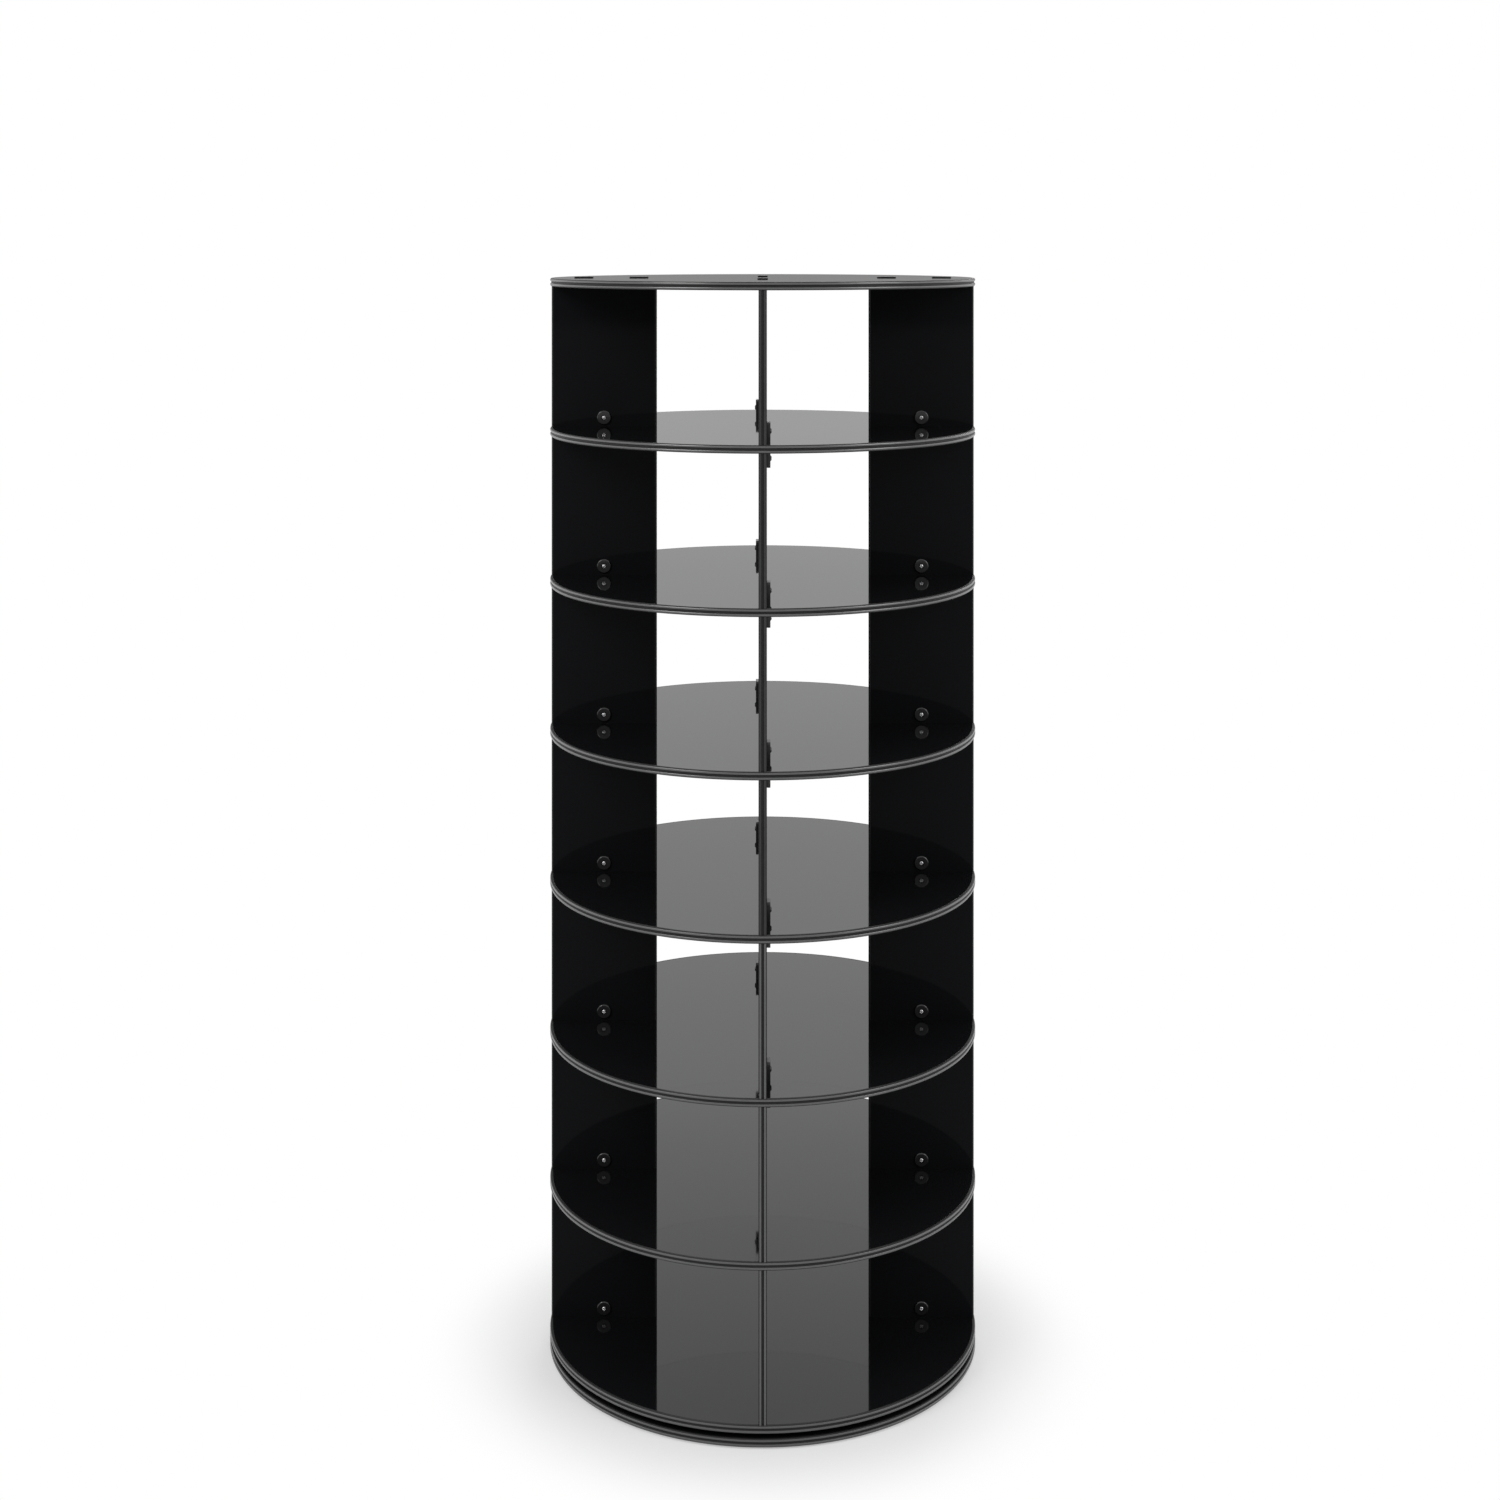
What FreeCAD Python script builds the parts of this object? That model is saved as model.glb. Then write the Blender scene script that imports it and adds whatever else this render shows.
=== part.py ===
"""Rotating shoe tower: seven tiers of round shelves, held apart by upright boards, on a ball-bearing turntable.

Frame: origin on the floor at the middle of the turntable, +Z up, -Y towards the user, +X to the user's right.
Each piece is written to parts/NODE.step, in millimetres. A tier is the space between one disc and the next. A full
divider runs from front to back through each tier, and two side panels stand across it, from the rim half-way in, so
that heels can reach past them into the compartment behind.
"""
import FreeCAD, Part
import math
import os

# ---------------------------------------------------------------- driving dimensions, mm
DISC_RADIUS = 250.0             # every disc, edge trim included
BOARD = 9.0                     # thickness of every board
TIERS = 7
TIER_PITCH = 175.0              # from the top of one disc to the top of the next

TRIM = 2.0                      # wall of the edge trims
TRIM_GROOVE = 0.9               # depth of the groove along the middle of every trimmed edge
BOARD_INSET = 1.0               # how far the upright boards stop inside the rim
CENTRE_GAP = 250.0              # clear width between the left and right side panels

TENON_WIDTH = 19.0              # tabs by which the upright boards sit in the discs
TENON_MEET = 0.2                # air between the two tenons that share a mortise
MORTISE_CLEARANCE = 0.2         # all round a tenon or a joint plate
INNER_TENON_SETBACK = 21.0      # a side panel's inner edge to the middle of its inner tenon
OUTER_TENON_SETBACK = 38.0      # a side panel's outer edge to the middle of its outer tenon
DIVIDER_TENON_SPACING = 160.0   # between the middles of a divider's two tenons

PLATE_WIDTH = 19.0              # plates that tie the divider above a shelf to the one below
PLATE_THICKNESS = 4.0
PLATE_REACH = 20.5              # how far a plate stands out above and below the shelf
PLATE_CORNER = 3.0
FRONT_PLATE_DISTANCE = 190.0    # from the axis; the front plates lie on the divider's right face
REAR_PLATE_DISTANCE = 150.0     # and the rear ones on its left face
FIRST_PLATED_SHELF = 2          # the shelves from here up have joint plates

CAP_LENGTH = 22.0               # covers over the open mortises of the top panel
CAP_WIDTH = 12.0
CAP_RISE = 1.2
CAP_PLUG = 3.0

BEARING_HEIGHT = 5.5            # clear height between base disc and bottom shelf
RING_LIFT = 0.3                 # air between each race and the disc that it turns against
BALL_CIRCLE = 120.0             # radius through the middles of the balls
BALL_RADIUS = 2.0
BALL_COUNT = 12
BALL_SIDES = 8                  # facets round a ball
BALL_LATITUDES = (-67.5, -22.5, 22.5, 67.5)     # degrees; a ring of corners lies at each
BALL_CLEARANCE = 0.05           # between a ball and each flank of its groove
GROOVE_SLOPE = 60.0             # degrees from a flank of the groove to the horizontal
RACE_WALL = 12.0                # from the bottom of the groove to the back of a race
CAGE_WALL = 1.0                 # band that the cage stays within
CAGE_FLATS = 48                 # short flats that the cage strip is bent in
CAGE_LIFT = 0.25                # air above and below the cage
CAGE_FLOOR = 0.5                # web under each ball pocket
POCKET_CLEARANCE = 0.1

PAD_RADIUS = 12.0               # non-slip pads under the base disc
PAD_HEIGHT = 1.5
PAD_COUNT = 4
PAD_SETBACK = 35.0              # rim of the base disc to the middle of a pad

# ---------------------------------------------------------------- levels and places
BASE_Z = PAD_HEIGHT
BEARING_Z = BASE_Z + BOARD
BOTTOM_SHELF_Z = BEARING_Z + BEARING_HEIGHT
CLEAR_HEIGHT = TIER_PITCH - BOARD
PLATED_SHELVES = range(FIRST_PLATED_SHELF, TIERS)
BOARD_END = DISC_RADIUS - BOARD_INSET
TENON_LENGTH = (BOARD - TENON_MEET) / 2
PANEL_INNER = CENTRE_GAP / 2
BALL_Z = BEARING_Z + BEARING_HEIGHT / 2

UP = FreeCAD.Vector(0, 0, 1)
ORIGIN = FreeCAD.Vector(0, 0, 0)


def disc_z(level):
    """Underside of a disc: level 0 is the bottom shelf, level TIERS is the top panel."""
    return BOTTOM_SHELF_Z + level * TIER_PITCH


def tier_z(tier):
    """Floor of a tier, counted from 1 at the bottom."""
    return disc_z(tier - 1) + BOARD


def block(x, y, z, centre_x, centre_y, low_z):
    """A box of size x, y, z, centred in plan and standing on low_z."""
    return Part.makeBox(x, y, z, FreeCAD.Vector(centre_x - x / 2, centre_y - y / 2, low_z))


def ring(profile):
    """Turn a closed outline of (radius, z) points round the tower's axis."""
    points = [FreeCAD.Vector(r, 0, z) for r, z in profile]
    face = Part.Face(Part.makePolygon(points + points[:1]))
    return face.revolve(ORIGIN, UP, 360)


def tenon_places():
    """Middle of every tenon in plan, with its length along X and along Y."""
    inner = PANEL_INNER + INNER_TENON_SETBACK
    outer = BOARD_END - OUTER_TENON_SETBACK
    places = [(side * x, 0.0, TENON_WIDTH, BOARD) for side in (-1, 1) for x in (inner, outer)]
    places += [(0.0, side * DIVIDER_TENON_SPACING / 2, BOARD, TENON_WIDTH) for side in (-1, 1)]
    return places


def plate_places():
    """Middle of the front and the rear joint plate in plan."""
    offset = (BOARD + PLATE_THICKNESS) / 2
    return [(offset, -FRONT_PLATE_DISTANCE), (-offset, REAR_PLATE_DISTANCE)]


# ---------------------------------------------------------------- discs
def plain_disc(low):
    """Round board whose glued edge trim has a bead along its upper and its lower edge, with a groove between."""
    waist = DISC_RADIUS - TRIM_GROOVE
    return ring([(0, low), (DISC_RADIUS, low), (waist, low + BOARD / 2), (DISC_RADIUS, low + BOARD), (0, low + BOARD)])


def disc(level):
    """A shelf with its mortises, and with slots where joint plates pass."""
    low = disc_z(level)
    room = 2 * MORTISE_CLEARANCE
    tools = [block(x + room, y + room, BOARD, cx, cy, low) for cx, cy, x, y in tenon_places()]
    if level in PLATED_SHELVES:
        tools += [block(PLATE_THICKNESS + room, PLATE_WIDTH + room, BOARD, cx, cy, low)
                  for cx, cy in plate_places()]
    return plain_disc(low).cut(Part.makeCompound(tools))


# ---------------------------------------------------------------- upright boards
def with_tenons(board, low, places):
    """Add the tenons at the bottom and the top edge of an upright board."""
    for cx, cy, x, y in places:
        board = board.fuse(block(x, y, CLEAR_HEIGHT + 2 * TENON_LENGTH, cx, cy, low - TENON_LENGTH))
    return board.removeSplitter()


def divider(tier):
    """Full-depth board between the left and the right half of a tier."""
    length = 2 * (BOARD_END - TRIM)
    board = block(BOARD, length, CLEAR_HEIGHT, 0, 0, tier_z(tier))
    return with_tenons(board, tier_z(tier), [place for place in tenon_places() if place[0] == 0])


def side_panel(tier, side):
    """Board from the rim half-way in; side is -1 for the left one and 1 for the right one."""
    length = BOARD_END - PANEL_INNER - 2 * TRIM
    middle = side * (BOARD_END + PANEL_INNER) / 2
    board = block(length, BOARD, CLEAR_HEIGHT, middle, 0, tier_z(tier))
    return with_tenons(board, tier_z(tier), [place for place in tenon_places() if place[0] * side > 0])


def upright_trim(edge_x, edge_y, outward, tier):
    """Grooved strip on an upright edge; outward is the direction it faces in plan, edge its outer face."""
    low = tier_z(tier)
    size_x, size_y = (TRIM, BOARD) if outward[0] else (BOARD, TRIM)
    strip = block(size_x, size_y, CLEAR_HEIGHT, edge_x - outward[0] * TRIM / 2, edge_y - outward[1] * TRIM / 2, low)
    face = FreeCAD.Vector(edge_x, edge_y, low)
    across = FreeCAD.Vector(outward[1], outward[0], 0) * (BOARD / 2)
    waist = face - FreeCAD.Vector(outward[0], outward[1], 0) * TRIM_GROOVE
    groove = Part.Face(Part.makePolygon([face - across, waist, face + across, face - across]))
    return strip.cut(groove.extrude(UP * CLEAR_HEIGHT))


def divider_trims(tier):
    """The strips on a divider's front and rear edges."""
    return Part.makeCompound([upright_trim(0, side * BOARD_END, (0, side), tier) for side in (-1, 1)])


def panel_trims(tier, side):
    """The strips on a side panel's inner and outer edges."""
    return Part.makeCompound([upright_trim(side * PANEL_INNER, 0, (-side, 0), tier),
                              upright_trim(side * BOARD_END, 0, (side, 0), tier)])


# ---------------------------------------------------------------- joint plates and caps
def joint_plate(cx, cy, level):
    """Flat plate with clipped corners, upright through a shelf and flat on the divider's face."""
    low = disc_z(level) - PLATE_REACH
    plate = block(PLATE_THICKNESS, PLATE_WIDTH, BOARD + 2 * PLATE_REACH, cx, cy, low)
    corners = [edge for edge in plate.Edges if abs(edge.tangentAt(edge.FirstParameter).x) > 0.9]
    return plate.makeChamfer(PLATE_CORNER, corners)


def joint_plates():
    return Part.makeCompound([joint_plate(cx, cy, level)
                              for level in PLATED_SHELVES for cx, cy in plate_places()])


def top_caps():
    """Low covers on the top panel, each with a plug that fills the end of its mortise."""
    top = disc_z(TIERS) + BOARD
    caps = []
    for cx, cy, x, y in tenon_places():
        size_x, size_y = (CAP_LENGTH, CAP_WIDTH) if x > y else (CAP_WIDTH, CAP_LENGTH)
        cover = block(size_x, size_y, CAP_RISE, cx, cy, top)
        caps.append(cover.fuse(block(x, y, CAP_PLUG, cx, cy, top - CAP_PLUG)).removeSplitter())
    return Part.makeCompound(caps)


# ---------------------------------------------------------------- turntable
def race(side):
    """Bearing ring with a V groove: side 1 is the fixed outer ring, -1 the turning inner one."""
    low = BEARING_Z if side > 0 else BEARING_Z + RING_LIFT
    high = low + BEARING_HEIGHT - RING_LIFT
    slope = math.radians(GROOVE_SLOPE)
    bottom = BALL_CIRCLE + side * (BALL_RADIUS + BALL_CLEARANCE) / math.sin(slope)
    back = bottom + side * RACE_WALL
    low_lip = bottom - side * (BALL_Z - low) / math.tan(slope)
    high_lip = bottom - side * (high - BALL_Z) / math.tan(slope)
    return ring([(low_lip, low), (back, low), (back, high), (high_lip, high), (bottom, BALL_Z)])


def ball_angles():
    return [360.0 * number / BALL_COUNT for number in range(BALL_COUNT)]


def ball(centre):
    """A bearing ball in flat facets, because twelve true spheres would need more of them than all the boards."""
    rings = []
    for latitude in map(math.radians, BALL_LATITUDES):
        reach = BALL_RADIUS * math.cos(latitude)
        height = BALL_RADIUS * math.sin(latitude)
        turns = [2 * math.pi * corner / BALL_SIDES for corner in range(BALL_SIDES + 1)]
        rings.append([centre + FreeCAD.Vector(reach * math.cos(a), reach * math.sin(a), height) for a in turns])
    outlines = [rings[0], rings[-1]]
    for lower, upper in zip(rings, rings[1:]):
        outlines += [[lower[n], lower[n + 1], upper[n + 1], upper[n], lower[n]] for n in range(BALL_SIDES)]
    return Part.makeSolid(Part.makeShell([Part.Face(Part.makePolygon(outline)) for outline in outlines]))


def balls():
    angles = map(math.radians, ball_angles())
    return Part.makeCompound([ball(FreeCAD.Vector(BALL_CIRCLE * math.cos(a), BALL_CIRCLE * math.sin(a), BALL_Z))
                              for a in angles])


def many_sided(radius, sides, height, low):
    """Upright prism with its corners on a circle about the tower's axis."""
    turns = [2 * math.pi * (corner + 0.5) / sides for corner in range(sides + 1)]
    outline = [FreeCAD.Vector(radius * math.cos(a), radius * math.sin(a), low) for a in turns]
    return Part.Face(Part.makePolygon(outline)).extrude(UP * height)


def ball_cage():
    """Comb cage: a strip bent in short flats, with a pocket for each ball, open at the top."""
    low = BEARING_Z + CAGE_LIFT
    height = BEARING_HEIGHT - 2 * CAGE_LIFT
    inner = (BALL_CIRCLE - CAGE_WALL / 2) / math.cos(math.pi / CAGE_FLATS)
    outer = BALL_CIRCLE + CAGE_WALL / 2
    strip = many_sided(outer, CAGE_FLATS, height, low).cut(many_sided(inner, CAGE_FLATS, height, low))
    width = 2 * (BALL_RADIUS + POCKET_CLEARANCE)
    pockets = []
    for angle in ball_angles():
        pocket = block(width, width, height, BALL_CIRCLE, 0, low + CAGE_FLOOR)
        pocket.rotate(ORIGIN, UP, angle)
        pockets.append(pocket)
    return strip.cut(Part.makeCompound(pockets))


def pads():
    """Round non-slip pads on a circle under the base disc."""
    circle = DISC_RADIUS - PAD_SETBACK
    places = [math.radians(360.0 * (n + 0.5) / PAD_COUNT) for n in range(PAD_COUNT)]
    return Part.makeCompound([Part.makeCylinder(PAD_RADIUS, PAD_HEIGHT,
                                                FreeCAD.Vector(circle * math.cos(a), circle * math.sin(a), 0))
                              for a in places])


# ---------------------------------------------------------------- the assembly
def disc_name(level):
    if level == 0:
        return "bottom_shelf"
    return "top_panel" if level == TIERS else f"shelf_{level}"


def assembly():
    """Every node's name and shape, from the floor up."""
    parts = {
        "base_pads": pads(),
        "base_disc": plain_disc(BASE_Z),
        "bearing_outer_race": race(1),
        "bearing_balls": balls(),
        "bearing_ball_cage": ball_cage(),
        "bearing_inner_race": race(-1),
        "divider_joint_plates": joint_plates(),
        "top_panel_caps": top_caps(),
    }
    for level in range(TIERS + 1):
        parts[disc_name(level)] = disc(level)
    for tier in range(1, TIERS + 1):
        parts[f"divider_{tier}"] = divider(tier)
        parts[f"divider_trims_{tier}"] = divider_trims(tier)
        for side, hand in ((-1, "left"), (1, "right")):
            parts[f"{hand}_panel_{tier}"] = side_panel(tier, side)
            parts[f"{hand}_panel_trims_{tier}"] = panel_trims(tier, side)
    return parts


os.makedirs("parts", exist_ok=True)
for name, shape in assembly().items():
    shape.exportStep(f"parts/{name}.step")
    print(name, len(shape.Solids), "solids", round(shape.Volume / 1000, 2), "cm3", "valid" if shape.isValid() else "BAD")
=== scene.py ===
# %% [markdown]
# # A rotating shoe tower
#
# Eight round black shelves stand above each other in seven tiers. Upright boards hold them apart: in
# each tier one divider runs from front to back, and two side panels reach from the rim half-way in. The
# whole tower turns on a ring of balls over a base disc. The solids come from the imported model, and this
# lesson gives them their finish: gloss lacquer, grooved edge trims, coated joint plates, screws and
# rubber pads.

import math

import bmesh
import bpy
from mathutils import Matrix, Vector


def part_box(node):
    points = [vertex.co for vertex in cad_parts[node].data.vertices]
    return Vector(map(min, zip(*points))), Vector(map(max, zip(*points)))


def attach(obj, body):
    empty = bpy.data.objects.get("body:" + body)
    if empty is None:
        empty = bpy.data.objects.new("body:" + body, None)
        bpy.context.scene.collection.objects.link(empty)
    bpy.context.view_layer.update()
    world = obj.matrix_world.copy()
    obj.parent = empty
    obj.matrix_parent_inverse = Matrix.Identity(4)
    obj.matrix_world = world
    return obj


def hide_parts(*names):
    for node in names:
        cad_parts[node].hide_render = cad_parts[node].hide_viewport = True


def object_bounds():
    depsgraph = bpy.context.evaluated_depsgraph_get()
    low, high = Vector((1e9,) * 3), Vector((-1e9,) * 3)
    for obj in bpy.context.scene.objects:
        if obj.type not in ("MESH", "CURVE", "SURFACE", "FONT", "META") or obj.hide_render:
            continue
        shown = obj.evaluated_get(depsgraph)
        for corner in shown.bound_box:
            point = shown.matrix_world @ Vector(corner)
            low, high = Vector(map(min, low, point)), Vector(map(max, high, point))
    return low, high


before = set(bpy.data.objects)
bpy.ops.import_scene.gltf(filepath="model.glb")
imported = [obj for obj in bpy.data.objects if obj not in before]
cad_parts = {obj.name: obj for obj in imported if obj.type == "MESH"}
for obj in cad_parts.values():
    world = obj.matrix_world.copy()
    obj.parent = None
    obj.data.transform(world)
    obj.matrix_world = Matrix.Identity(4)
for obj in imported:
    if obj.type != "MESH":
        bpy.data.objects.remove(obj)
cad_box = [list(corner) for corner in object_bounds()]
MM = 0.001
print("solids:", len(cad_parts), "box:", cad_box)

# %% [markdown]
# ## Camera
#
# The eye stands 2.68 m in front of the tower's axis, a little above the top panel. A camera that is
# tilted down at the tower would make its upright edges lean together, so this one looks level. The
# tower is brought into the picture by shifting the lens instead, as with a view camera.

# %% A level camera with a shifted lens
PICTURE_WIDTH = 1500            # in pixels; the picture is square
FOCAL_PIXELS = 2266.8           # focal length, measured in pixels of the picture
OPTICAL_AXIS_X = 762.7          # where the lens axis meets the picture
HORIZON_Y = 235.75
EYE_DISTANCE = 2.677            # from the tower's axis
EYE_HEIGHT = 1.2995
SENSOR = 36.0

camera_data = bpy.data.cameras.new("camera")
camera_data.sensor_width = SENSOR
camera_data.lens = SENSOR * FOCAL_PIXELS / PICTURE_WIDTH
camera_data.shift_x = (PICTURE_WIDTH / 2 - OPTICAL_AXIS_X) / PICTURE_WIDTH
camera_data.shift_y = (HORIZON_Y - PICTURE_WIDTH / 2) / PICTURE_WIDTH
camera = bpy.data.objects.new("camera", camera_data)
camera.location = (0, -EYE_DISTANCE, EYE_HEIGHT)
camera.rotation_euler = (math.radians(90), 0, 0)
scene = bpy.context.scene
scene.collection.objects.link(camera)
scene.camera = camera
scene.view_settings.view_transform = "Standard"
print("lens:", round(camera_data.lens, 2), "mm")

# %% [markdown]
# ## A small kit for materials
#
# Every finish below is one Principled shader with a little detail in its colour, roughness and relief.
# Painted pictures could give that detail too, but they need unwrapping and tend to show seams, which
# noise doesn't. It reads Object coordinates, which are metres here, so a noise of scale 400 has waves
# of about two and a half millimetres on every piece. Most helpers add one node to a node tree and
# return its output.

# %% A material and its sockets


def grey(level):
    """A neutral colour."""
    return (level, level, level, 1)


def new_material(name):
    """An empty node material; returns it with its node tree."""
    material = bpy.data.materials.new(name)
    material.use_nodes = True
    tree = material.node_tree
    tree.nodes.clear()
    return material, tree


def feed(tree, value, socket):
    """Link a node's output to a socket, or set the socket to a plain value."""
    if isinstance(value, bpy.types.NodeSocket):
        tree.links.new(value, socket)
    else:
        socket.default_value = value


def principled(tree, **values):
    """A Principled shader on the output; spaces in the names of its sockets are underscores here."""
    shader = tree.nodes.new("ShaderNodeBsdfPrincipled")
    for name, value in values.items():
        feed(tree, value, shader.inputs[name.replace("_", " ")])
    output = tree.nodes.new("ShaderNodeOutputMaterial")
    tree.links.new(shader.outputs["BSDF"], output.inputs["Surface"])


print("a neutral colour:", grey(0.5))

# %% Noise


def noise(tree, scale, detail, stretch=(1, 1, 1)):
    """Noise on Object coordinates; stretch makes it longer along an axis when below 1."""
    place = tree.nodes.new("ShaderNodeTexCoord")
    mapping = tree.nodes.new("ShaderNodeMapping")
    mapping.inputs["Scale"].default_value = stretch
    texture = tree.nodes.new("ShaderNodeTexNoise")
    texture.inputs["Scale"].default_value = scale
    texture.inputs["Detail"].default_value = detail
    tree.links.new(place.outputs["Object"], mapping.inputs["Vector"])
    tree.links.new(mapping.outputs["Vector"], texture.inputs["Vector"])
    return texture.outputs["Fac"]


print("noise ready")

# %% What is made of noise


def spread(tree, factor, low, high, start=0.0, end=1.0, easing="LINEAR"):
    """Turn a factor that runs from start to end into values from low to high."""
    node = tree.nodes.new("ShaderNodeMapRange")
    node.interpolation_type = easing
    node.inputs["From Min"].default_value = start
    node.inputs["From Max"].default_value = end
    node.inputs["To Min"].default_value = low
    node.inputs["To Max"].default_value = high
    tree.links.new(factor, node.inputs["Value"])
    return node.outputs["Result"]


def tint(tree, factor, dark, light):
    """Turn a 0 to 1 factor into a colour between two."""
    ramp = tree.nodes.new("ShaderNodeValToRGB")
    ramp.color_ramp.elements[0].color = dark
    ramp.color_ramp.elements[1].color = light
    tree.links.new(factor, ramp.inputs["Fac"])
    return ramp.outputs["Color"]


def bump(tree, height, strength, depth):
    """Surface relief from a 0 to 1 height; depth is that of the waves in metres."""
    node = tree.nodes.new("ShaderNodeBump")
    node.inputs["Strength"].default_value = strength
    node.inputs["Distance"].default_value = depth
    tree.links.new(height, node.inputs["Height"])
    return node.outputs["Normal"]


print("values, colours and relief ready")

# %% [markdown]
# ## Gloss lacquer
#
# The boards are faced with a black high-gloss film. Almost all that is seen of them is what they mirror,
# so the base is nearly black and the roughness very low. Plain gloss would do along the surface, but
# head-on this film stays deep black. A coat over a dull black would mirror head-on as well. The specular
# tint doesn't: it darkens the head-on reflection and leaves the grazing one alone. Real gloss film is
# never quite flat: it has long shallow waves, and handling leaves a faint haze in places.

# %% The boards' finish
BOARD_BLACK = (0.0060, 0.0063, 0.0070, 1)
BOARD_BLACK_HAZY = (0.0076, 0.0079, 0.0087, 1)
HEAD_ON = (0.07, 0.07, 0.073, 1)
HAZE_SCALE = 9                  # patches of about 11 cm
WAVE_SCALE = 22                 # waves about 45 mm long
WAVE_DEPTH = 0.4 * MM


def gloss_lacquer():
    """Black high-gloss film with a faint haze and long shallow waves."""
    material, tree = new_material("gloss black lacquer")
    haze = noise(tree, HAZE_SCALE, detail=4)
    waves = noise(tree, WAVE_SCALE, detail=1)
    principled(
        tree,
        Base_Color=tint(tree, haze, BOARD_BLACK, BOARD_BLACK_HAZY),
        Roughness=spread(tree, haze, 0.02, 0.06),
        Normal=bump(tree, waves, strength=0.06, depth=WAVE_DEPTH),
        IOR=1.4,
        Specular_Tint=HEAD_ON,
    )
    return material


board_finish = gloss_lacquer()
print(board_finish.name)

# %% [markdown]
# ## Moulded plastic
#
# The edge trims are extruded strips of two plastics: a black body, and two grey beads with a satin skin.
# The beads' lighter grey is painted highlight, which adds to the bright lines that they mirror.
# The caps, rosettes, ball cage and pads are moulded. One flat colour would make their highlights look
# drawn with a ruler. On a real moulding a slight mottle and the grain of the mould break them up, so both
# are noise here. One function makes all of these finishes, as they differ only in tone and gloss. Its
# gloss is 0.5 for a mirror image as strong as the ior gives, and less for a weaker one.

# %% Plastic, and the three plastics of the trims
MOTTLE_SCALE = 120              # patches of about 8 mm
GRAIN_SCALE = 2500              # grain of 0.4 mm
GRAIN_DEPTH = 0.08 * MM
PLASTIC_VARIES = 0.05           # in roughness, to both sides


def moulded_plastic(name, dark, light, rough, gloss=0.5, ior=1.5, grain=0.15):
    """Plastic with a slight mottle between two tones and a fine grain."""
    material, tree = new_material(name)
    mottle = noise(tree, MOTTLE_SCALE, detail=3)
    skin = noise(tree, GRAIN_SCALE, detail=2)
    principled(
        tree,
        Base_Color=tint(tree, mottle, dark, light),
        Roughness=spread(tree, mottle, rough - PLASTIC_VARIES, rough + PLASTIC_VARIES),
        Normal=bump(tree, skin, strength=grain, depth=GRAIN_DEPTH),
        IOR=ior,
        Specular_IOR_Level=gloss,
    )
    return material


trim_black = moulded_plastic("black trim plastic", grey(0.010), grey(0.015), rough=0.5, gloss=0.2)
# The beads' lighter grey is painted highlight: it adds to the bright lines that the rims mirror.
painted_highlight_bead = moulded_plastic("grey bead plastic with painted highlight", (0.032, 0.032, 0.033, 1), (0.042, 0.042, 0.043, 1),
                            rough=0.24, ior=1.8, grain=0.02)
# A darker, duller copy of the bead plastic for the high dividers: its darker grey is painted shade.
bead_with_painted_shade = moulded_plastic("bead plastic with painted shade", grey(0.024), grey(0.032), rough=0.45, gloss=0.25)
print("finishes so far:", len(bpy.data.materials))

# %% [markdown]
# ## A small kit for pieces
#
# Each piece is modelled in a bmesh at its place in the tower. The helper below turns it into an object,
# shades it smooth but for its crisp edges, and lets it ride on a body of the model. A small rounding
# beside a large flat face would bend the shading of that face, and a mirror shows it at once. Weighted
# normals stop that: the large face decides.

# %% Making a piece
SHARP = math.radians(35)


def add_piece(name, bm, body, material, stands_for=()):
    """Make the object and let it ride on a body; stands_for names the solids it replaces."""
    bmesh.ops.recalc_face_normals(bm, faces=bm.faces)
    for face in bm.faces:
        face.smooth = True
    for edge in bm.edges:
        edge.smooth = edge.calc_face_angle(0) < SHARP
    mesh = bpy.data.meshes.new(name)
    bm.to_mesh(mesh)
    bm.free()
    mesh.materials.append(material)
    piece = bpy.data.objects.new(name, mesh)
    scene.collection.objects.link(piece)
    weighted = piece.modifiers.new("weighted normals", "WEIGHTED_NORMAL")
    weighted.keep_sharp = True
    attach(piece, body)
    if stands_for:
        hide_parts(*stands_for)
    return piece


def dress(node, material):
    """Give a solid of the model its finish."""
    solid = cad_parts[node]
    solid.data.materials.clear()
    solid.data.materials.append(material)


print("edges are crisp from", round(math.degrees(SHARP)), "degrees")

# %% Rounding edges
LEVEL = 0.01 * MM               # heights that differ by less count as one


def soften(bm, edges, size, segments=2):
    """Round the given edges."""
    bmesh.ops.bevel(bm, geom=list(edges), offset=size, segments=segments, profile=0.5,
                    affect="EDGES", material=-1)


def is_level(edge):
    """Whether both ends of an edge are at one height."""
    return abs(edge.verts[0].co.z - edge.verts[1].co.z) < LEVEL


print("edge helpers ready")

# %% [markdown]
# ## Round boards and their edge trim
#
# Each shelf is a flat disc with a plastic trim glued round it. Two grey beads run along the trim with a
# black groove between them. The rim's two thin light lines are highlights that the beads mirror from the
# side light, and the beads' lighter grey is painted highlight that adds to them. The board is a short
# cylinder with a softened rim. Rings could be bevelled into it for the trim, but the trim is a piece of
# its own on the real shelf and has an outline of its own. So it is one small outline, spun once round
# the tower's axis. Its beads get their own lighter plastic, whose grey is painted highlight: a face
# belongs to a bead if it lies less than a bead's depth below the outermost line.

# %% The trim's outline
TRIM_WIDTH = 3.0 * MM           # how far the trim reaches in over the board's rim
TRIM_CHAMFER = 0.5 * MM
BEAD_WIDTH = 2.3 * MM
BEAD_OFFSET = 2.5 * MM          # from the middle of the board's thickness to the middle of a bead
BEAD_DEPTH = 0.6 * MM           # the beads stand this far out of the black body
# Faces up to this depth get the grey bead plastic, whose lighter grey is painted highlight.
BEAD_REACH = 0.97 * BEAD_DEPTH  # faces up to this depth are grey
BEAD_STEPS = 6
GROOVE_DEPTH = 1.3 * MM         # the groove between them, measured from the top of a bead
GROOVE_HALF = 0.7 * MM          # half the width of its floor


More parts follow.
